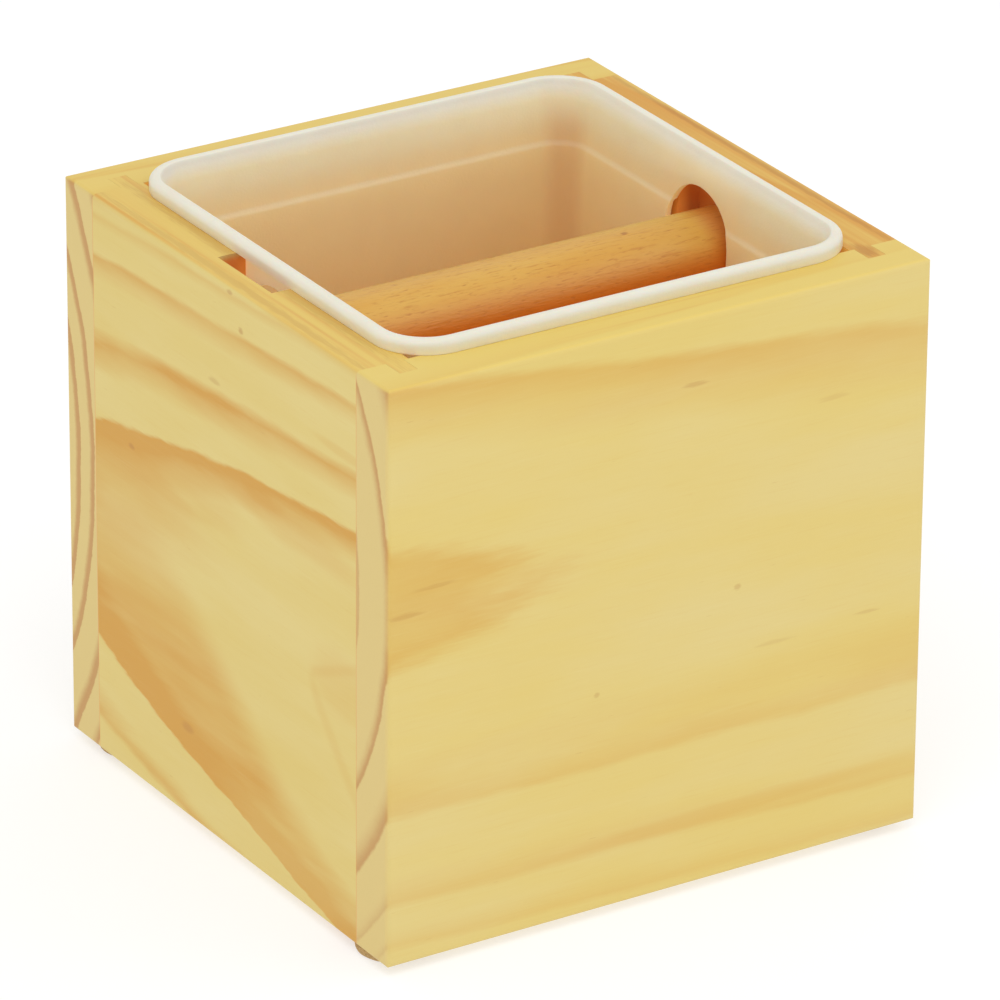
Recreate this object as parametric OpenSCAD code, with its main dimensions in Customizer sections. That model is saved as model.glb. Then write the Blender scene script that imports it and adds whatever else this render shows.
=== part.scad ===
// Espresso knock box: a pine box with tongue-and-dado corners, a lift-out plastic
// tub that hangs by its rim, and a beech knock bar that crosses the tub and lies in
// an open-topped slot in each side panel.
// Frame: origin at the centre of the footprint on the surface the box stands on,
// X from left to right, Y from front to back, Z up. Millimetres.

/* [Box] */
// Width across the two side panels
box_w = 150; // [140:1:200]
// Depth across the front and rear panels
box_d = 150; // [140:1:200]
// Height of the wooden walls
box_h = 148; // [130:1:200]
// Thickness of the wall boards
board_t = 14; // [12:0.5:16]
// Radius that eases the box's outer edges
ease_r = 1.2; // [0.6:0.1:2]

/* [Corner joints] */
// Width of the tongue on the ends of the side panels
tongue_w = 4.7; // [3:0.1:5]
// Length of the tongue, and depth of its dado
tongue_l = 6.3; // [4:0.1:8]
// Distance from the side panel's inner face to the tongue
tongue_inset = 1.3; // [1:0.1:3]
// Glue gap on each side of the tongue
glue_gap = 0.05; // [0.02:0.01:0.2]

/* [Floor board] */
// Thickness of the floor board
floor_t = 6; // [4:0.5:8]
// Height of the floor board's underside above the lower edge of the walls
floor_lift = 8; // [4:0.5:14]
// Depth of the groove that holds the floor board
groove_depth = 5; // [3:0.5:6]
// Play left between the floor board's edge and the bottom of its groove
floor_play = 0.4; // [0.1:0.1:1]

/* [Knock bar] */
// Diameter of the bar
bar_d = 24; // [20:0.5:26]
// Distance of the bar's axis below the top edge of the walls
bar_drop = 24; // [22:0.5:30]
// Width of the open-topped slot in each side panel
slot_w = 25; // [24.5:0.5:28]
// Depth of the left panel's slot, from its inner face
slot_depth_left = 7.6; // [5:0.1:9]
// Depth of the right panel's slot, from its inner face
slot_depth_right = 6; // [5:0.1:9]
// Play between the bar's end and the closed end of the shallower slot
bar_end_play = 0.5; // [0.3:0.1:1.5]
// Gap between the bar and the bottom of its slot
seat_gap = 0.1; // [0.05:0.05:0.3]
// Chamfer on the ends of the bar
bar_chamfer = 1; // [0.5:0.1:2]

/* [Tub] */
// Width of the tub's rim, the same both ways
rim_w = 127.5; // [126:0.5:130]
// Height of the rim above the walls
rim_h = 3.6; // [2:0.1:5]
// Radius of the rim's corners, seen from above
rim_r = 14; // [10:0.5:18]
// Width of the rim's top, from its outer to its inner edge
rim_land = 2.9; // [2:0.1:3.4]
// Radius that rounds the rim's upper outer edge
rim_round = 1.6; // [0.5:0.1:1.8]
// Gap between the tub and the walls, just under the rim
tub_gap = 0.3; // [0.2:0.1:1]
// Thickness of the tub's wall
tub_wall = 1.6; // [1.2:0.1:2.4]
// Thickness of the tub's floor
tub_floor = 1.8; // [1.2:0.1:3]
// Gap between the tub and the floor board
tub_lift = 2; // [1:0.5:10]
// Distance of the stacking step below the top edge of the walls
step_drop = 12.7; // [8:0.1:20]
// Width of the stacking step
step_in = 0.9; // [0.5:0.1:1.5]
// Draft angle of the tub's walls
draft = 1.3; // [0.5:0.1:2]
// Radius that rounds the tub's lower edge
toe_r = 5; // [3:0.5:8]

/* [Bar holes in the tub] */
// Width of the hole that the bar passes through
hole_w = 28; // [26.5:0.5:30]
// Height of the hole's top arc centre above the bar's axis
hole_rise = 5.3; // [2:0.1:6]

/* [Feet] */
// Diameter of the round felt pads
pad_d = 18; // [12:0.5:22]
// Thickness of the pads
pad_h = 2.5; // [1.5:0.1:5]
// Distance from the front pads' edges to the side faces of the box
front_pad_side = 0.6; // [0:0.1:6]
// Distance from the front pads' edges to the front face
front_pad_front = 4.5; // [0:0.1:12]
// Distance from the rear pads' edges to the side faces
rear_pad_side = 1.9; // [0:0.1:6]
// Distance from the rear pads' edges to the rear face
rear_pad_rear = 3; // [0:0.1:12]

/* [Hidden] */

$fn = 64;
eps = 0.01;
over = 1;

pine = [0.88, 0.79, 0.52];
pine_side = [0.87, 0.75, 0.46];
plywood = [0.80, 0.68, 0.48];
plastic = [0.91, 0.88, 0.82];
beech = [0.80, 0.56, 0.26];
felt = [0.42, 0.30, 0.18];

walls_z = pad_h;
top_z = walls_z + box_h;
inner_w = box_w - 2 * board_t;
inner_d = box_d - 2 * board_t;
side_len = inner_d + 2 * tongue_l;
tongue_x = inner_w / 2 + tongue_inset;
floor_z = walls_z + floor_lift;
floor_w = inner_w + 2 * (groove_depth - floor_play);
floor_d = inner_d + 2 * (groove_depth - floor_play);

bar_z = top_z - bar_drop;
bar_len = inner_w + 2 * (min(slot_depth_left, slot_depth_right) - bar_end_play);
slot_z = bar_z + (slot_w - bar_d) / 2 - seat_gap;

tub_top = inner_w / 2 - tub_gap;
tub_z = floor_z + floor_t + tub_lift;
step_z = top_z - step_drop;
rim_half = rim_w / 2;
corner_c = rim_half - rim_r;
toe_steps = 5;
round_steps = 4;

front_pad = [box_w / 2 - front_pad_side - pad_d / 2, -box_d / 2 + front_pad_front + pad_d / 2];
rear_pad = [box_w / 2 - rear_pad_side - pad_d / 2, box_d / 2 - rear_pad_rear - pad_d / 2];

// Half-width of the tub's outside at height z, in the drafted wall of its
// upper band (above the stacking step) or of its body (below it).
function band_half(z) = tub_top - (top_z - z) * tan(draft);
function body_half(z) = band_half(z) - step_in;

// Points [half-width, height] along the body's rounded lower edge, from the floor up.
function toe_arc(z0, inset) =
    [for (i = [0:toe_steps])
        let (a = 90 * i / toe_steps)
        [body_half(z0 + toe_r) - inset - toe_r * (1 - sin(a)), z0 + toe_r * (1 - cos(a))]];

// Points along the rounded upper outer edge of the rim.
function rim_arc() =
    [for (i = [0:round_steps])
        let (a = 90 * i / round_steps)
        [rim_half - rim_round * (1 - cos(a)), top_z + rim_h - rim_round * (1 - sin(a))]];

// A square with its centre at the origin and rounded corners.
module rounded_square(w, d, r) {
    square([w - 2 * r, d], center = true);
    square([w, d - 2 * r], center = true);
    for (x = [-1, 1], y = [-1, 1])
        translate([x * (w / 2 - r), y * (d / 2 - r)])
            circle(r);
}

// A block, rounded-square from above, whose outline follows points given as
// [half-width, height]. The corners turn about four fixed upright axes.
module profiled_block(points) {
    low = points[0][1];
    high = points[len(points) - 1][1];
    half_outline = concat([[0, low]], points, [[0, high]]);
    corner_outline = concat([[0, low]], [for (p = points) [p[0] - corner_c, p[1]]], [[0, high]]);
    for (turn = [0, 90])
        rotate([0, 0, turn])
            for (side = [0, 1])
                mirror([side, 0, 0])
                    rotate([90, 0, 0])
                        linear_extrude(2 * corner_c, center = true)
                            polygon(half_outline);
    for (x = [-1, 1], y = [-1, 1])
        translate([x * corner_c, y * corner_c, 0])
            rotate_extrude()
                polygon(corner_outline);
}

// The outside of the wooden box, with every outer edge eased.
module eased_block() {
    translate([0, 0, walls_z + box_h / 2])
        intersection() {
            linear_extrude(box_h, center = true)
                rounded_square(box_w, box_d, ease_r);
            rotate([90, 0, 0])
                linear_extrude(box_d, center = true)
                    rounded_square(box_w, box_h, ease_r);
            rotate([90, 0, 90])
                linear_extrude(box_w, center = true)
                    rounded_square(box_d, box_h, ease_r);
        }
}

// A round-ended upright slot, centred on the bar's plane and running along X.
module upright_slot(x0, x1, width, low_z, high_z) {
    translate([x0, 0, low_z])
        rotate([0, 90, 0])
            cylinder(h = x1 - x0, d = width);
    translate([x0, -width / 2, low_z])
        cube([x1 - x0, width, high_z - low_z]);
}

// The front panel: full width, a dado near each end for the side panels'
// tongues, and a groove for the floor board that stops inside the dadoes.
module front_panel() {
    y0 = -box_d / 2;
    dado_w = tongue_w + 2 * glue_gap;
    color(pine)
        difference() {
            intersection() {
                eased_block();
                translate([-box_w / 2, y0, walls_z])
                    cube([box_w, board_t, box_h]);
            }
            for (side = [-1, 1])
                translate([side * (tongue_x + tongue_w / 2) - dado_w / 2,
                           y0 + board_t - tongue_l, walls_z - over])
                    cube([dado_w, tongue_l + over, box_h + 2 * over]);
            translate([-inner_w / 2 - groove_depth, y0 + board_t - groove_depth, floor_z])
                cube([inner_w + 2 * groove_depth, groove_depth + over, floor_t]);
        }
}

module rear_panel() {
    mirror([0, 1, 0])
        front_panel();
}

// A side panel, built on the right: it stands between the front and rear panels
// with a tongue on each end, and has the bar's slot, cut to the given depth, and the
// floor board's groove on its inner face.
module side_panel(slot_depth) {
    x0 = inner_w / 2;
    color(pine_side)
        difference() {
            intersection() {
                eased_block();
                union() {
                    translate([x0, -inner_d / 2, walls_z])
                        cube([board_t, inner_d, box_h]);
                    translate([tongue_x, -side_len / 2, walls_z])
                        cube([tongue_w, side_len, box_h]);
                }
            }
            upright_slot(x0 - over, x0 + slot_depth, slot_w, slot_z, top_z + over);
            translate([x0 - over, -side_len / 2 - over, floor_z])
                cube([groove_depth + over, side_len + 2 * over, floor_t]);
        }
}

module right_panel() {
    side_panel(slot_depth_right);
}

module left_panel() {
    mirror([1, 0, 0])
        side_panel(slot_depth_left);
}

module floor_board() {
    color(plywood)
        translate([-floor_w / 2, -floor_d / 2, floor_z])
            cube([floor_w, floor_d, floor_t]);
}

// The tub's outside: rounded toe, drafted body, wider band above the stacking
// step, and the rim that rests on the walls.
module tub_outside() {
    profiled_block(concat(toe_arc(tub_z, 0),
                          [[body_half(step_z), step_z], [band_half(step_z), step_z],
                           [tub_top, top_z], [rim_half, top_z]],
                          rim_arc()));
}

// The tub's inside, one wall thickness in, which flares out under the rim.
module tub_inside() {
    rim_inner = rim_half - rim_land;
    flare = (rim_inner - tub_top + tub_wall) / rim_h;
    profiled_block(concat(toe_arc(tub_z + tub_floor, tub_wall),
                          [[body_half(step_z) - tub_wall, step_z],
                           [band_half(step_z) - tub_wall, step_z],
                           [tub_top - tub_wall, top_z],
                           [rim_inner + over * flare, top_z + rim_h + over]]));
}

module tub() {
    color(plastic)
        difference() {
            tub_outside();
            tub_inside();
            upright_slot(-rim_half, rim_half, hole_w, bar_z, bar_z + hole_rise);
            translate([-rim_half, 0, bar_z + hole_rise])
                rotate([0, 90, 0])
                    cylinder(h = rim_w, d = hole_w);
        }
}

// The knock bar: a plain dowel with chamfered ends.
module knock_bar() {
    r = bar_d / 2;
    half = bar_len / 2;
    color(beech)
        translate([0, 0, bar_z])
            rotate([0, 90, 0])
                rotate_extrude()
                    polygon([[0, -half], [r - bar_chamfer, -half], [r, -half + bar_chamfer],
                             [r, half - bar_chamfer], [r - bar_chamfer, half], [0, half]]);
}

// A round felt pad, at a place for the right side, kept there (side 1) or mirrored
// to the left (side -1).
module foot(side, place) {
    color(felt)
        translate([side * place[0], place[1], 0])
            cylinder(h = pad_h, d = pad_d);
}

front_panel();
rear_panel();
left_panel();
right_panel();
floor_board();
tub();
knock_bar();
foot(-1, front_pad);  // foot_front_left
foot(1, front_pad);  // foot_front_right
foot(-1, rear_pad);  // foot_rear_left
foot(1, rear_pad);  // foot_rear_right
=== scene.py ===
import math

import bmesh
import bpy
from mathutils import Matrix, Vector, noise


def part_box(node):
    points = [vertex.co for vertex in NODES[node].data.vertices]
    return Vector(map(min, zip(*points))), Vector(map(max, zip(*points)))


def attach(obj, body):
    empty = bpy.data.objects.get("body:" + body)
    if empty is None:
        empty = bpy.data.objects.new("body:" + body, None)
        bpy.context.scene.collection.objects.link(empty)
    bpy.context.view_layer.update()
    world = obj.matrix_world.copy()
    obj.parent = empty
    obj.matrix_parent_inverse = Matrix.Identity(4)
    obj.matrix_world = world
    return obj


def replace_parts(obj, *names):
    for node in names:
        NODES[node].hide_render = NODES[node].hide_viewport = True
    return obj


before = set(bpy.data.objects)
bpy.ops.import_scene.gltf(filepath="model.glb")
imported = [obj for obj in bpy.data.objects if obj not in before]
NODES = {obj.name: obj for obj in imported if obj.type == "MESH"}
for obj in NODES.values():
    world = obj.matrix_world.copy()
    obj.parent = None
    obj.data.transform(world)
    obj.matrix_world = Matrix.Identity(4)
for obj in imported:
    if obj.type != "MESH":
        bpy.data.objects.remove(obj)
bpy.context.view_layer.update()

MM = 0.001
X, Y, Z = 0, 1, 2
BLACK = (0, 0, 0, 1)


def tint(red, green, blue):
    """An sRGB colour, 0 to 255 a channel, as linear RGBA."""
    def linear(value):
        value /= 255
        return value / 12.92 if value <= 0.04045 else ((value + 0.055) / 1.055) ** 2.4
    return (linear(red), linear(green), linear(blue), 1.0)


class Graph:
    """A material under construction. Lengths inside it are millimetres."""

    def __init__(self, name, **sockets):
        self.material = bpy.data.materials.new(name)
        self.material.use_nodes = True
        self.tree = self.material.node_tree
        self.shader = self.tree.nodes["Principled BSDF"]
        for socket, value in sockets.items():
            self.shader.inputs[socket.replace("_", " ")].default_value = value
        place = self.tree.nodes.new("ShaderNodeTexCoord")
        self.normal = place.outputs["Normal"]
        self.point = self.vector("MULTIPLY", place.outputs["Object"], (1000,) * 3)

    def set(self, node, index, value):
        """Gives an input a fixed value, or links it where value is an output."""
        socket = node.inputs[index]
        if isinstance(value, bpy.types.NodeSocket):
            self.tree.links.new(value, socket)
        else:
            socket.default_value = value

    def node(self, kind, *values, **settings):
        made = self.tree.nodes.new("ShaderNode" + kind)
        for name, value in settings.items():
            setattr(made, name, value)
        for index, value in enumerate(values):
            if value is not None:
                self.set(made, index, value)
        return made

    def math(self, operation, a, b=0.0, c=0.0):
        return self.node("Math", a, b, c, operation=operation).outputs[0]

    def vector(self, operation, a, b=(0, 0, 0)):
        made = self.node("VectorMath", a, b, operation=operation)
        scalar = operation in ("LENGTH", "DOT_PRODUCT", "DISTANCE")
        return made.outputs["Value" if scalar else "Vector"]

    def split(self, vector):
        return self.node("SeparateXYZ", vector).outputs

    def ease(self, value, low, high, out_low=0.0, out_high=1.0):
        """value taken smoothly from low..high to out_low..out_high, and held beyond."""
        made = self.node("MapRange", value, low, high, out_low, out_high,
                         interpolation_type="SMOOTHSTEP")
        return made.outputs[0]

    def noise(self, point, size, detail=2.0, shift=0.0, rough=0.5):
        """Noise around 0, about -1 to 1, with features of that size along X, Y and Z."""
        moved = self.vector("ADD", point, (shift, shift * 1.7, shift * 0.6))
        scaled = self.vector("DIVIDE", moved, size)
        made = self.node("TexNoise", scaled, None, 1.0, detail, rough)
        return self.math("MULTIPLY_ADD", made.outputs[0], 4.0, -2.0)

    def mix(self, factor, a, b):
        """Colour a where factor is 0, and b where it is 1."""
        made = self.tree.nodes.new("ShaderNodeMix")
        made.data_type = "RGBA"
        for index, value in ((0, factor), (6, a), (7, b)):
            self.set(made, index, value)
        return made.outputs[2]

    def ramp(self, value, stops):
        """A grey level that goes straight from one (position, level) to the next."""
        made = self.node("ValToRGB", value)
        elements = made.color_ramp.elements
        while len(elements) < len(stops):
            elements.new(1.0)
        for element, (position, level) in zip(elements, stops):
            element.position = position
            element.color = (level, level, level, 1)
        return made.outputs[0]

    def emit(self, colour):
        """Adds a faint light of its own, of that linear colour."""
        self.tree.links.new(colour, self.shader.inputs["Emission Color"])
        self.shader.inputs["Emission Strength"].default_value = 1.0

    def finish(self, colour, roughness=None, height=None, bump=0.1):
        """Ties colour, roughness and a height in millimetres to the shader."""
        self.tree.links.new(colour, self.shader.inputs["Base Color"])
        if roughness is not None:
            self.tree.links.new(roughness, self.shader.inputs["Roughness"])
        if height is not None:
            made = self.tree.nodes.new("ShaderNodeBump")
            made.inputs["Strength"].default_value = 1.0
            made.inputs["Distance"].default_value = bump * MM
            self.tree.links.new(height, made.inputs["Height"])
            self.tree.links.new(made.outputs[0], self.shader.inputs["Normal"])
        return self.material


# ---------------------------------------------------------------- pine boards
# Early and late wood on the faces, on the end grain and on the upper edges.

EARLY = tint(222, 201, 130)
EARLY_WARM = tint(222, 197, 112)
EARLY_PALE = tint(232, 218, 160)
LATE = tint(208, 146, 20)
END_EARLY = tint(221, 196, 124)
END_LATE = tint(186, 122, 54)
TOP_LIGHT = tint(234, 206, 104)
TOP_DARK = tint(218, 154, 54)
FLECK = tint(176, 112, 40)
# Painted shade for the faces towards the tub and inside the bar's slots.
SHADED = tint(232, 134, 56)
# Painted glow, an emission, for light in the box's top corners and slot mouths.
PAINTED_LEAK_GLOW = (0.26, 0.10, 0.012, 1)

LATE_LIMIT = 0.86       # how dark late wood may get
EVERYWHERE = 999        # a ring radius past every board's
# Millimetres. The first three are taken from the middle, just past what they bound.
INSIDE = 61.2           # the boards' inner faces
SLOT_HALF = 12.6        # the slots' sides
SLOT_END = 69.5         # the slots' ends
BELOW_TOP = 150.4       # a height just under the upper edges


def grain_size(grain, along, across):
    size = [across] * 3
    size[grain] = along
    return tuple(size)


def blob(g, centre, half, rough):
    """1 inside an ellipsoid with an uneven edge, falling to 0 outside it."""
    away = g.vector("LENGTH", g.vector("DIVIDE", g.vector("SUBTRACT", g.point, centre), half))
    return g.ease(g.math("MULTIPLY_ADD", rough, 0.25, away), 0.4, 1.15, 1, 0)


def under_line(g, y, z, slope, soft):
    """1 well below a line through (y, z) in the YZ plane, falling to 0 above it."""
    here = g.split(g.point)
    rise = g.math("MULTIPLY_ADD", here[Y], -slope, here[Z])
    level = z - slope * y
    return g.ease(rise, level - soft, level + soft, 1, 0)


def inner_face_shade(g, grain):
    """How much painted shade the faces towards the tub get; most of all in the bar's slots."""
    x, y, z = (g.math("ABSOLUTE", part) for part in g.split(g.point))
    below = g.ease(z, BELOW_TOP, 148.5)
    if grain == X:
        return g.math("MULTIPLY", g.math("LESS_THAN", y, INSIDE), g.math("MULTIPLY", below, 0.5))
    slot = g.math("MULTIPLY", g.math("LESS_THAN", y, SLOT_HALF), g.math("LESS_THAN", x, SLOT_END))
    near = g.math("MULTIPLY", g.ease(y, 26, 14), g.ease(z, 92, 108))
    inside = g.math("MAXIMUM", g.math("LESS_THAN", x, INSIDE), slot)
    return g.math("MULTIPLY", g.math("MULTIPLY_ADD", near, 0.45, 0.45),
                  g.math("MULTIPLY", inside, below))


def painted_light_leak(g):
    """Painted glow, an emission standing in for light that gets into the box's top corners past
    the tub's rim, and into the slots.
    """
    x, y, z = (g.math("ABSOLUTE", part) for part in g.split(g.point))
    corner = g.math("MULTIPLY", g.ease(g.math("MINIMUM", x, y), 54, 58), g.ease(z, 144, 149))
    corner = g.math("MULTIPLY", corner, g.math("LESS_THAN", g.math("MAXIMUM", x, y), INSIDE))
    mouth = g.math("MULTIPLY", g.ease(y, 17, 14.5, 0.0, 0.5), g.ease(x, 65, 61))
    mouth = g.math("MULTIPLY", mouth, g.ease(z, 110, 116))
    inside = g.math("MULTIPLY", g.math("LESS_THAN", z, BELOW_TOP), g.math("GREATER_THAN", x, 50))
    return g.math("MULTIPLY", inside, g.math("MAXIMUM", corner, mouth))


def growth_rings(g, grain, pith, rings, shift):
    """The distance from the pith, and how dark the rings are there."""
    start, end = Vector(pith[0]), Vector(pith[1])
    direction = (end - start).normalized()
    offset = g.vector("SUBTRACT", g.point, tuple(start))
    radius = g.vector("LENGTH", g.vector("CROSS_PRODUCT", offset, tuple(direction)))
    for along, across, amount in ((70, 22, 0.55), (16, 3.0, 0.22), (6, 0.6, 0.12)):
        wave = g.noise(g.point, grain_size(grain, along, across), 2, shift + across)
        radius = g.math("MULTIPLY_ADD", wave, amount, radius)
    low, high = rings[0][0] - rings[0][2] - 2, rings[-1][0] + rings[-1][3] + 2
    stops = [(low, 0.0)]
    for edge, dark, inside, outside in rings:
        stops += [(edge - inside, 0.0), (edge - inside * 0.4, dark * 0.55),
                  (edge - inside * 0.06, dark), (edge + outside, 0.0)]
    share = g.math("DIVIDE", g.math("SUBTRACT", radius, low), high - low)
    return radius, g.ramp(share, [((r - low) / (high - low), d) for r, d in stops])


def late_wood(g, grain, radius, ringed, shift, patches):
    """The rings made uneven along the grain, then darkened or paled in patches."""
    uneven = g.noise(g.point, grain_size(grain, 45, 9), 3, shift + 40)
    late = g.math("MULTIPLY", ringed, g.ease(uneven, -1.2, 1.2, 0.66, 1.15))
    late = g.math("MINIMUM", late, LATE_LIMIT)
    for shape, amount, limit in patches:
        field = shape(g, uneven) if callable(shape) else blob(g, *shape, uneven)
        within = g.ease(radius, limit - 0.2, limit + 0.4, amount, 0)
        late = g.math("MINIMUM", g.math("MULTIPLY_ADD", field, within, late), LATE_LIMIT)
    return g.math("MAXIMUM", late, 0.0)


def upper_edge(g, grain, colour, late, shift, top):
    """colour, with the weathered upper edge of the board laid over it."""
    streak = g.noise(g.point, grain_size(grain, 160, 2.6), 2, shift + 21)
    streak = g.math("ADD", streak, g.math("MULTIPLY", late, 0.9))
    dark = g.ease(streak, 0.8 - 2 * top, 2.2 - 2 * top)
    light = tuple(a + (b - a) * 0.55 * top for a, b in zip(TOP_LIGHT, TOP_DARK))
    edge = g.math("MULTIPLY", g.ease(g.split(g.normal)[Z], 0.5, 0.95), 0.6 + 0.3 * top)
    return g.mix(edge, colour, g.mix(dark, light, TOP_DARK))


def pine(name, grain, pith, rings, shift, top, flecks=(), patches=(), early=EARLY):
    """Pine for one board, whose fibres run along the axis grain. The growth rings are tubes
    round the pith, a line through two points, so the face grain meets the end grain.
    rings    outer radius, darkness, soft width inside it, soft width outside it
    flecks   centre, half-size, darkness
    patches  (centre, half-size) or a function, darkness, ring radius it stays inside
    shift    where in the noise the board lies
    top      how far the upper edge has darkened"""
    g = Graph(name, Roughness=0.5)
    radius, ringed = growth_rings(g, grain, pith, rings, shift)
    late = late_wood(g, grain, radius, ringed, shift, patches)

    warm = g.noise(g.point, grain_size(grain, 90, 18), 3, shift + 7)
    face = g.mix(g.ease(warm, -1.0, 1.0), early, EARLY_WARM)
    face = g.mix(late, face, LATE)
    fibre = g.noise(g.point, grain_size(grain, 14, 0.45), 4, shift + 3, 0.65)
    face = g.mix(g.ease(fibre, 0.1, 1.4, 0.0, 0.13), face, LATE)
    face = g.mix(g.ease(fibre, -1.4, -0.1, 0.12, 0.0), face, EARLY_PALE)
    canal = g.noise(g.point, grain_size(grain, 5, 0.4), 1, shift + 11)
    face = g.mix(g.ease(canal, 1.05, 1.45, 0.0, 0.22), face, FLECK)

    cut = g.mix(g.ease(ringed, 0.05, 0.5, 0.0, 0.7), END_EARLY, END_LATE)
    pore = g.noise(g.point, (0.5, 0.5, 0.5), 2, shift + 5)
    cut = g.mix(g.ease(pore, 0.4, 1.4, 0.0, 0.16), cut, END_LATE)
    end = g.ease(g.math("ABSOLUTE", g.split(g.normal)[grain]), 0.55, 0.9)

    colour = upper_edge(g, grain, g.mix(end, face, cut), late, shift, top)
    for centre, half, amount in flecks:
        spot = g.math("MULTIPLY", blob(g, centre, half, canal), amount)
        colour = g.mix(spot, colour, FLECK)
    # Painted shade on the faces towards the tub and in the slots.
    colour = g.mix(inner_face_shade(g, grain), colour, SHADED)
    # Painted glow in the box's top corners and slot mouths.
    g.emit(g.mix(painted_light_leak(g), BLACK, PAINTED_LEAK_GLOW))
    roughness = g.math("MULTIPLY_ADD", late, -0.08, 0.55)
    height = g.math("ADD", g.math("MULTIPLY", fibre, 0.25), g.math("MULTIPLY", late, 0.5))
    return g.finish(colour, roughness, height, 0.02)


def paint(node, material):
    data = NODES[node].data
    data.materials.clear()
    data.materials.append(material)


def left_wedge(g, uneven):
    """The broad orange wedge low on the left board, narrowing towards the front."""
    slant = g.math("MAXIMUM", under_line(g, 16, 60, 0.78, 9), under_line(g, -25, 27, 0.33, 6))
    wedge = g.math("MULTIPLY", under_line(g, 0, 66, 0.02, 14), slant)
    streak = g.noise(g.point, (30, 40, 3.5), 2, 12)
    streak = g.math("ADD", g.ease(uneven, -1.6, 1.0, 0.0, 0.35), g.ease(streak, -1, 1, 0.6, 0.9))
    deep = g.ease(g.split(g.point)[Z], 66, 38, 0.6, 1.0)
    return g.math("MULTIPLY", g.math("MULTIPLY", wedge, streak), deep)


def left_mark(g, _uneven):
    """Two faint lines that open from a point towards the front edge."""
    here = g.split(g.point)
    run = g.math("SUBTRACT", -38.5, here[Y])
    rise = g.math("SUBTRACT", here[Z], 65)
    upper = g.math("ABSOLUTE", g.math("MULTIPLY_ADD", run, -0.42, rise))
    lower = g.math("ABSOLUTE", g.math("MULTIPLY_ADD", run, 1.1, rise))
    line = g.ease(g.math("MINIMUM", upper, g.math("MULTIPLY", lower, 0.5)), 0.2, 2.4, 1, 0)
    return g.math("MULTIPLY", line, g.ease(run, 0, 4))


paint("front_panel", pine(
    "pine_front", X, ((-75, 24, 96.0), (75, 27.7, 87.8)), shift=0, top=0.05,
    rings=[(86.5, 0.35, 5, 0.5), (99.9, 0.50, 4, 0.5), (113, 0.46, 7.0, 0.7),
           (125.5, 0.27, 5, 0.8), (132.5, 0.21, 3.5, 1.0), (141, 0.4, 4, 0.8)],
    flecks=[((8.5, -75, 133.3), (4.0, 9, 0.8), 0.28), ((59, -75, 62.4), (4, 9, 0.6), 0.2),
            ((21.7, -75, 78.0), (1.1, 9, 0.9), 0.28), ((-17.5, -75, 59.6), (0.9, 9, 0.8), 0.28),
            ((48, -75, 121), (5, 9, 0.8), 0.14), ((33, -75, 61), (6, 9, 0.7), 0.15),
            ((-62, -75, 98.8), (7, 9, 0.7), 0.2), ((-70, -75, 93), (5, 9, 0.9), 0.25)],
    patches=[(((-75, -75, 94), (24, 30, 8)), 0.02, 99.9),
             (((20, -75, 20), (60, 30, 2.4)), 0.18, EVERYWHERE),
             (((0, -75, 44), (110, 30, 8)), -0.12, EVERYWHERE)]))

paint("rear_panel", pine(
    "pine_rear", X, ((-75, 191, 77.6), (75, 184, 85.5)), shift=31, top=0.25,
    rings=[(98, 0.5, 4, 0.5), (109.5, 0.5, 4, 0.5), (122, 0.8, 3, 0.5),
           (129, 0.75, 3, 0.5), (140, 0.7, 4, 0.5), (149, 0.5, 4, 0.5)]))

paint("left_panel", pine(
    "pine_left", Y, ((11.15, 62, 63.7), (-2.4, -62, 56.3)), shift=57, top=0.45,
    rings=[(90.1, 1.0, 4.6, 0.35), (98.9, 0.95, 4.0, 1.6), (111.6, 0.62, 4, 0.8),
           (118.9, 0.3, 2, 0.8), (121.8, 0.2, 1.5, 0.5)],
    flecks=[((-75, -4, 149.0), (9, 1.5, 0.7), 0.4), ((-75, -9, 141.0), (9, 1.3, 0.9), 0.45),
            ((-75, 43.4, 91.2), (9, 1.6, 0.9), 0.4), ((-75, 17.5, 26.5), (9, 3, 1.6), 0.3),
            ((-75, 3.5, 123.6), (9, 3, 0.9), 0.25), ((-64.7, 0, 150.5), (2.6, 72, 4), 0.30),
            ((-72.7, 0, 150.5), (1.4, 90, 2), 0.26)],
    patches=[(left_wedge, 0.66, 90),
             (((-75, 60, 82), (20, 50, 22)), 0.27, 90),
             (((-75, 32, 90), (20, 34, 11)), 0.12, 90),
             (((-75, -54, 68), (20, 16, 9)), 0.16, 90),
             (((-75, -18, 102), (20, 14, 3)), 0.16, 90),
             (((-75, -32, 98.5), (20, 38, 5)), 0.24, 90),
             (((-75, 6, 91), (20, 18, 8)), 0.15, 90),
             (((-75, 24, 80), (20, 28, 9)), 0.10, 90),
             (((-75, -2, 114.8), (20, 28, 3.4)), 0.14, 98.9),
             (((-75, -55, 127.5), (20, 14, 1.6)), 0.2, EVERYWHERE),
             (left_mark, 0.15, 90),
             (((-75, -35, 15), (20, 45, 14)), -0.24, EVERYWHERE),
             (((-75, 45, 7), (20, 60, 12)), -0.35, EVERYWHERE)],
    early=tint(225, 204, 129)))

paint("right_panel", pine(
    "pine_right", Y, ((-3, 62, 65.5), (6, -62, 73.5)), shift=83, top=0.75,
    rings=[(72, 0.5, 5, 0.4), (84, 0.7, 7, 0.4), (95.5, 0.6, 4, 0.5),
           (103, 0.6, 3, 0.5), (111, 0.7, 4, 0.5), (120, 0.6, 4, 0.5)],
    flecks=[((72.7, 0, 150.5), (1.1, 90, 2), 0.42), ((64, -63, 150.5), (2.8, 5, 3), 0.5),
            ((64, 0, 150.5), (2.2, 60, 3), 0.15)]))


# ---------------------------------------------------------------- other woods

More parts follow.
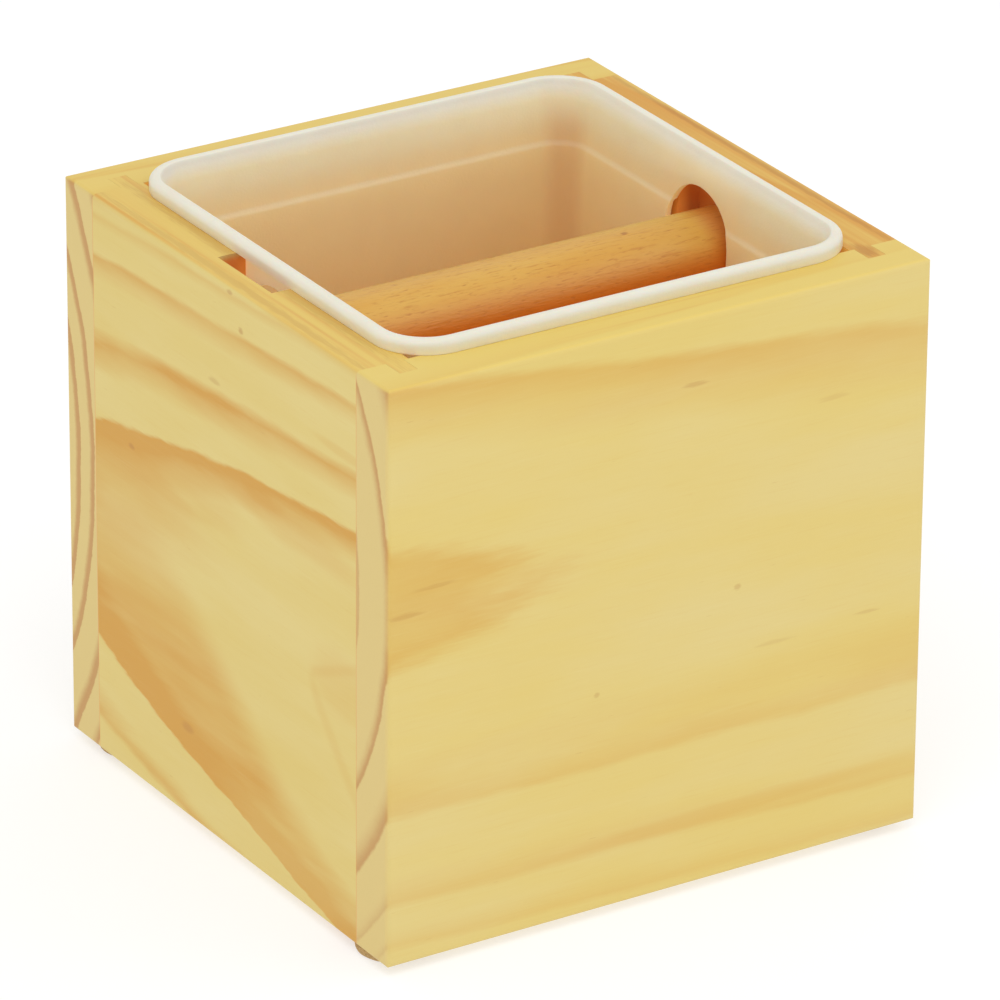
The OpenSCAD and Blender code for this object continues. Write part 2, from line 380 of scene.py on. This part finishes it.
def beech():
    """The oiled bar. Its painted shade on the underside follows the world, so it stays below as
    it turns.
    """
    g = Graph("beech_bar", Roughness=0.36)
    broad = g.noise(g.point, (60, 7, 7), 3, 5)
    colour = g.mix(g.ease(broad, -1.2, 1.2), tint(222, 178, 86), tint(216, 160, 64))
    # Painted shade: a darker, more orange underside.
    upward = g.split(g.node("NewGeometry").outputs["Normal"])[Z]
    colour = g.mix(g.ease(upward, 0.9, 0.15), colour, tint(204, 104, 8))
    # Painted shade where the bar runs into the slots.
    reach = g.math("ABSOLUTE", g.split(g.point)[X])
    colour = g.mix(g.ease(reach, 54, 61, 0.0, 0.55), colour, tint(190, 88, 20))
    fibre = g.noise(g.point, (7, 0.7, 0.7), 3, 9, 0.65)
    colour = g.mix(g.ease(fibre, 0.0, 1.2, 0.0, 0.5), colour, tint(180, 98, 26))
    ray = g.noise(g.point, (2.4, 0.55, 0.55), 1, 17)
    colour = g.mix(g.ease(ray, 0.3, 1.3, 0.0, 0.4), colour, tint(168, 88, 22))
    knot = blob(g, (36.5, -1.0, 138.3), (1.1, 0.8, 1.5), ray)
    colour = g.mix(g.math("MULTIPLY", knot, 0.55), colour, tint(150, 70, 14))
    end = g.ease(g.math("ABSOLUTE", g.split(g.normal)[X]), 0.55, 0.9)
    pith = (0, 31, 97)
    ring = g.math("SINE", g.math("MULTIPLY", g.vector("DISTANCE", g.point, pith), 3.6))
    cut = g.mix(g.ease(ring, -0.4, 1.0, 0.0, 0.6), tint(196, 140, 74), tint(160, 100, 44))
    pore = g.noise(g.point, (3, 0.35, 0.35), 1, 23)
    cut = g.mix(g.ease(pore, 0.4, 1.2, 0.0, 0.5), cut, tint(128, 74, 30))
    colour = g.mix(end, colour, cut)
    return g.finish(colour, None, g.math("SUBTRACT", fibre, ray), 0.02)


def plywood():
    """The floor board's face veneer, with its rings sliced into wide waves."""
    g = Graph("birch_plywood", Roughness=0.6)
    wave = g.noise(g.point, (120, 26, 60), 3, 2)
    across = g.math("MULTIPLY_ADD", wave, 16, g.split(g.point)[Y])
    ring = g.math("SINE", g.math("MULTIPLY", across, 0.42))
    colour = g.mix(g.ease(ring, -1, 1), tint(214, 190, 146), tint(196, 164, 112))
    fibre = g.noise(g.point, (12, 0.5, 2), 3, 6)
    colour = g.mix(g.ease(fibre, 0.2, 1.4, 0, 0.3), colour, tint(160, 124, 76))
    return g.finish(colour, None, fibre, 0.02)


paint("knock_bar", beech())
paint("floor_board", plywood())


# ---------------------------------------------------------------- tub
# Millimetres, apart from the slope and the angle.

RIM_THICKNESS = 3.6
STEP_DROP = 12.7                        # from the rim's underside to the stacking step
WALL = 1.6
DRAFT = math.tan(math.radians(1.3))     # the walls' slope
CORNER_CENTRE = 49.75                   # of the corners' arcs, from the middle
HOLE_WIDTH = 27
HOLE_LOW, HOLE_HIGH = 126.5, 131.8      # heights of the centres of the holes' round ends
SHARP_ANGLE = 35                        # degrees, above which an edge of a mesh stays sharp


def tub_painted_glow(g, outer):
    """Painted glow, an emission standing in for daylight that the plastic carries down behind the
    rim, round the bar's holes and along their cut edges.
    """
    x, y, z = (g.math("ABSOLUTE", part) for part in g.split(g.point))
    beside = g.math("MULTIPLY", g.math("MULTIPLY", outer, g.ease(y, 24, 13)), g.ease(z, 138, 146))
    glow = g.mix(beside, BLACK, (0.22, 0.22, 0.12, 1))
    corner = g.ease(g.math("MINIMUM", x, y), 48, 54)
    corner = g.math("MULTIPLY", g.math("MULTIPLY", corner, outer), g.ease(z, 144, 148))
    glow = g.mix(corner, glow, (0.10, 0.08, 0.04, 1))
    edge = g.ease(g.math("ABSOLUTE", g.split(g.normal)[X]), 0.8, 0.3)
    edge = g.math("MULTIPLY", edge, g.math("MULTIPLY", g.math("LESS_THAN", y, 13.8),
                                           g.math("GREATER_THAN", x, 57.5)))
    edge = g.math("MULTIPLY", edge, g.ease(z, 147, 144))
    return g.mix(edge, glow, (0.20, 0.15, 0.06, 1))


def tub_plastic():
    """Translucent plastic: white at the rim and outside. The tan deeper in is painted light, for
    the wood's colour showing through the walls.
    """
    g = Graph("tub_plastic", Roughness=0.38, IOR=1.49, Subsurface_Weight=0.3,
              Subsurface_Radius=(1.0, 0.6, 0.35), Subsurface_Scale=0.004)
    z = g.split(g.point)[Z]
    # Painted shade: the rim's front-facing side is greyer.
    front = g.ease(g.split(g.normal)[Y], -0.1, -0.9)
    rim = g.mix(front, tint(233, 230, 214), tint(221, 220, 208))
    # Painted light: cream under the rim turning tan deeper in, for wood-coloured light through
    # the walls.
    colour = g.mix(g.ease(z, 153.8, 148.5), rim, tint(254, 240, 200))
    colour = g.mix(g.ease(z, 149, 136), colour, tint(252, 220, 162))
    colour = g.mix(g.ease(z, 140, 90), colour, tint(252, 209, 140))
    # Painted highlight: a pale line along the stacking step.
    step_highlight = g.ease(g.math("ABSOLUTE", g.math("SUBTRACT", z, 137.9)), 0.3, 1.2, 0.32, 0.0)
    colour = g.mix(step_highlight, colour, tint(255, 240, 212))
    level = g.vector("MULTIPLY", g.point, (1, 1, 0))
    outward = g.vector("DOT_PRODUCT", g.normal, g.vector("NORMALIZE", level))
    outer = g.math("MULTIPLY", g.ease(outward, 0.3, 0.8), g.ease(z, 152, 149))
    colour = g.mix(outer, colour, tint(252, 240, 212))
    # Painted shade down the rear right corner, stronger lower down.
    corner = g.vector("LENGTH", g.vector("SUBTRACT", level, (56.2, 56, 0)))
    corner_shade = g.math("MULTIPLY", g.ease(corner, 1.5, 7.5, 0.38, 0.0), g.ease(z, 152, 138))
    colour = g.mix(corner_shade, colour, tint(206, 142, 80))
    cloud = g.noise(g.point, (9, 9, 9), 3, 4)
    colour = g.mix(g.ease(cloud, -1, 1.5, 0, 0.10), colour, tint(222, 186, 132))
    skin = g.noise(g.point, (0.6, 0.6, 0.6), 2, 8)
    # Painted glow behind the rim, round the holes and on their cut edges.
    g.emit(tub_painted_glow(g, outer))
    return g.finish(colour, None, skin, 0.01)


def ring_outline(half, height, centre, arc_steps, side_steps):
    """Points of a rounded square of that half-width, whose corners turn about centre, or
    nearer the middle where the square is smaller than that."""
    pivot = min(centre, half * 0.9)
    radius = half - pivot
    points = []
    for quarter in range(4):
        turn = Matrix.Rotation(quarter * math.pi / 2, 3, "Z")
        for i in range(arc_steps + 1):
            a = math.pi / 2 * i / arc_steps
            point = Vector((pivot + radius * math.cos(a), pivot + radius * math.sin(a), height))
            points.append(turn @ point)
        for i in range(1, side_steps):
            x = pivot * (1 - 2 * i / side_steps)
            points.append(turn @ Vector((x, half, height)))
    return points


def arc(centre, radius, start, end, steps):
    """Points (half-width, height) on an arc, angles in degrees."""
    return [(centre[0] + radius * math.cos(math.radians(start + (end - start) * i / steps)),
             centre[1] + radius * math.sin(math.radians(start + (end - start) * i / steps)))
            for i in range(steps + 1)]


def loft(bm, outlines):
    """Skins a stack of outlines with as many points each, closes its two ends, and turns
    every face outward."""
    rings = [[bm.verts.new(point) for point in outline] for outline in outlines]
    count = len(rings[0])
    for lower, upper in zip(rings, rings[1:]):
        for i in range(count):
            j = (i + 1) % count
            bm.faces.new((lower[i], lower[j], upper[j], upper[i]))
    bm.faces.new(rings[0])
    bm.faces.new(rings[-1])
    bmesh.ops.recalc_face_normals(bm, faces=bm.faces)


def smooth(data, angle=SHARP_ANGLE):
    data.shade_smooth()
    data.set_sharp_from_angle(angle=math.radians(angle))


def link_mesh(name, bm):
    """A new object in the scene with the mesh of bm, which it frees."""
    data = bpy.data.meshes.new(name)
    bm.to_mesh(data)
    bm.free()
    made = bpy.data.objects.new(name, data)
    bpy.context.scene.collection.objects.link(made)
    return made


def piece(name, bm, material, body, angle=SHARP_ANGLE):
    """A visible piece that rides on a body."""
    made = link_mesh(name, bm)
    smooth(made.data, angle)
    made.data.materials.append(material)
    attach(made, body)
    return made


def tub_profile():
    """Half-width and height, in millimetres, from the inside floor's middle over the rim
    to the underside's middle."""
    low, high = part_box("tub")
    floor, top, rim = low.z / MM, high.z / MM, high.x / MM
    wall_top = top - RIM_THICKNESS
    step, toe, base = wall_top - STEP_DROP, 5, 1.8

    def band(z):
        return 60.7 - (wall_top - z) * DRAFT

    def body(z):
        return band(z) - 0.9

    inside_toe = floor + base + toe
    points = [(1, floor + base), (25, floor + base)]
    points += arc((body(inside_toe) - WALL - toe, inside_toe), toe, -90, 0, 8)
    points += [(body(80) - WALL, 80)]
    inner_step = [(-7, 0.0), (-3, 0.14), (-1.1, 0.32), (-0.5, 0.40), (-0.1, 0.51), (0.3, 0.62),
                  (0.9, 0.70), (2.5, 0.81), (5, 0.9)]
    points += [(body(step + rise) - WALL + out, step + rise) for rise, out in inner_step]
    points += [(band(wall_top - 1.6) - WALL, wall_top - 1.6), (59.25, wall_top - 0.5),
               (59.6, wall_top + 0.8), (60.05, wall_top + 1.8), (60.55, wall_top + 2.6)]
    points += arc((61.3, top - 0.6), 0.6, 140, 90, 3)
    points += arc((rim - 1.6, top - 1.6), 1.6, 90, 0, 8)
    points += [(rim, wall_top + 0.2), (rim - 0.06, wall_top + 0.06), (rim - 0.2, wall_top + 0.01)]
    points += [(61.4, wall_top + 0.01), (60.75, wall_top - 0.05), (60.6, wall_top - 0.5)]
    points += [(band(step + 1), step + 1), (band(step) - 0.1, step + 0.2),
               (body(step) + 0.15, step - 0.15), (body(step - 0.8), step - 0.8)]
    points += [(body(80), 80)]
    points += arc((body(floor + toe) - toe, floor + toe), toe - 0.02, 0, -90, 8)
    points += [(25, floor + 0.02), (1, floor + 0.02)]
    return points


def obround_cutter(width, low_z, high_z, half_length):
    """A closed bar along X with round top and bottom, to cut the tub's bar holes."""
    bm = bmesh.new()
    steps, radius = 24, width / 2
    angles = [math.pi * i / steps for i in range(steps + 1)]
    outline = [(-radius * math.cos(a), high_z + radius * math.sin(a)) for a in angles]
    outline += [(radius * math.cos(a), low_z - radius * math.sin(a)) for a in angles]
    loft(bm, [[(x, y, z) for y, z in outline] for x in (-half_length, half_length)])
    return link_mesh("cutter", bm)


def apply_modifiers(target):
    """Makes the modified mesh the object's own."""
    bpy.context.view_layer.update()
    graph = bpy.context.evaluated_depsgraph_get()
    data = bpy.data.meshes.new_from_object(target.evaluated_get(graph))
    target.modifiers.clear()
    target.data = data


def weigh_hole_edges(data):
    """Marks both rims of the two bar holes for the bevel."""
    weights = data.attributes.new("bevel_weight_edge", "FLOAT", "EDGE")
    half = 14.2 * MM
    bm = bmesh.new()
    bm.from_mesh(data)
    for edge in bm.edges:
        sides = sorted(abs(face.normal.x) for face in edge.link_faces)
        middle = (edge.verts[0].co + edge.verts[1].co) / 2
        if (len(sides) == 2 and sides[0] < 0.3 and sides[1] > 0.7
                and all(abs(vert.co.y) < half for vert in edge.verts)
                and 112 * MM < middle.z < 147 * MM and abs(middle.x) > 56 * MM):
            weights.data[edge.index].value = 1.0
    bm.free()


def drop_slivers(data, size):
    bm = bmesh.new()
    bm.from_mesh(data)
    bmesh.ops.remove_doubles(bm, verts=bm.verts, dist=size)
    bmesh.ops.dissolve_degenerate(bm, edges=bm.edges, dist=size)
    bm.to_mesh(data)
    bm.free()


def build_tub():
    bm = bmesh.new()
    loft(bm, [ring_outline(half * MM, height * MM, CORNER_CENTRE * MM, 14, 4)
              for half, height in tub_profile()])
    tub = piece("tub_shell", bm, tub_plastic(), "tub")
    cutter = obround_cutter(HOLE_WIDTH * MM, HOLE_LOW * MM, HOLE_HIGH * MM, 70 * MM)
    cut = tub.modifiers.new("holes", "BOOLEAN")
    cut.operation, cut.solver, cut.object = "DIFFERENCE", "EXACT", cutter
    apply_modifiers(tub)
    bpy.data.objects.remove(cutter)
    weigh_hole_edges(tub.data)
    round_over = tub.modifiers.new("cut_edges", "BEVEL")
    round_over.limit_method, round_over.width, round_over.segments = "WEIGHT", 0.35 * MM, 3
    apply_modifiers(tub)
    drop_slivers(tub.data, 0.003 * MM)
    smooth(tub.data)
    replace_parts(tub, "tub")


build_tub()


# ---------------------------------------------------------------- felt pads

def felt():
    g = Graph("brown_felt", Roughness=0.95)
    hair = g.noise(g.point, (0.5, 0.5, 0.5), 4, 3, 0.7)
    colour = g.mix(g.ease(hair, -1, 1), tint(204, 158, 92), tint(236, 200, 140))
    return g.finish(colour, None, hair, 0.25)


def felt_pad(node, material):
    """A die-cut felt disc: squashed rounded edges and a slightly ragged outline."""
    low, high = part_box(node)
    middle, radius = (low + high) / 2, (high.x - low.x) / 2
    profile = [(0.6, 1.0), (0.955, 1.0), (0.985, 0.88), (0.995, 0.62), (0.99, 0.36),
               (0.965, 0.12), (0.93, 0.02), (0.6, 0.0)]
    steps, ragged = 72, 0.012
    angles = [2 * math.pi * i / steps for i in range(steps)]

    def edge(share, z, a):
        spot = (math.cos(a) * 9, math.sin(a) * 9, z * 3 + low.x * 100 + low.y * 60)
        reach = radius * (share - ragged + ragged * noise.noise(Vector(spot)))
        return (middle.x + reach * math.cos(a), middle.y + reach * math.sin(a), z * high.z)

    bm = bmesh.new()
    loft(bm, [[edge(share, z, a) for a in angles] for share, z in profile])
    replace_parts(piece(node + "_pad", bm, material, "box", 50), node)


felt_material = felt()
for node in ("foot_front_left", "foot_front_right", "foot_rear_left", "foot_rear_right"):
    felt_pad(node, felt_material)


# ---------------------------------------------------------------- stage

def stage_floor():
    g = Graph("pale_floor", Roughness=0.9, Emission_Color=(1, 1, 1, 1), Emission_Strength=0.6)
    speck = g.noise(g.point, (300, 300, 300), 2)
    colour = g.mix(g.ease(speck, -1, 1), (0.43, 0.43, 0.43, 1), (0.45, 0.45, 0.45, 1))
    bm = bmesh.new()
    bmesh.ops.create_grid(bm, x_segments=2, y_segments=2, size=12)
    made = link_mesh("floor", bm)
    made.data.materials.append(g.finish(colour))


def soft_box(name, position, size, power):
    """A square area light, aimed at the object's middle."""
    data = bpy.data.lights.new(name, "AREA")
    data.shape, data.size, data.energy = "SQUARE", size, power
    made = bpy.data.objects.new(name, data)
    made.location = position
    aim = Vector((0, 0, 0.08)) - Vector(position)
    made.rotation_euler = aim.to_track_quat("-Z", "Y").to_euler()
    bpy.context.scene.collection.objects.link(made)


def studio():
    world = bpy.data.worlds.new("studio")
    world.use_nodes = True
    background = world.node_tree.nodes["Background"]
    background.inputs["Color"].default_value = (1, 1, 1, 1)
    background.inputs["Strength"].default_value = 0.75
    bpy.context.scene.world = world
    soft_box("key", (-0.72, -0.88, 1.8), 1.2, 11)
    soft_box("fill", (1.4, -0.9, 1.2), 1.4, 5)


def camera():
    """The photographed view: a long lens from the front left, looking down."""
    azimuth, elevation, roll = map(math.radians, (-32.1804, 24.7594, -0.4282))
    back = Vector((math.sin(azimuth) * math.cos(elevation),
                   -math.cos(azimuth) * math.cos(elevation), math.sin(elevation)))
    right = (-back).cross(Vector((0, 0, 1))).normalized()
    down = (-back).cross(right)
    level_right = math.cos(roll) * right + math.sin(roll) * down
    up = -(math.cos(roll) * down - math.sin(roll) * right)
    data = bpy.data.cameras.new("camera")
    data.lens, data.sensor_width = 305.395, 36
    data.clip_start, data.clip_end = 0.05, 50
    made = bpy.data.objects.new("camera", data)
    axes = Matrix((level_right, up, back)).transposed().to_4x4()
    made.matrix_world = Matrix.Translation((-0.98951, -1.57644, 0.93461)) @ axes
    bpy.context.scene.collection.objects.link(made)
    bpy.context.scene.camera = made


stage_floor()
studio()
camera()
bpy.context.scene.view_settings.view_transform = "Standard"
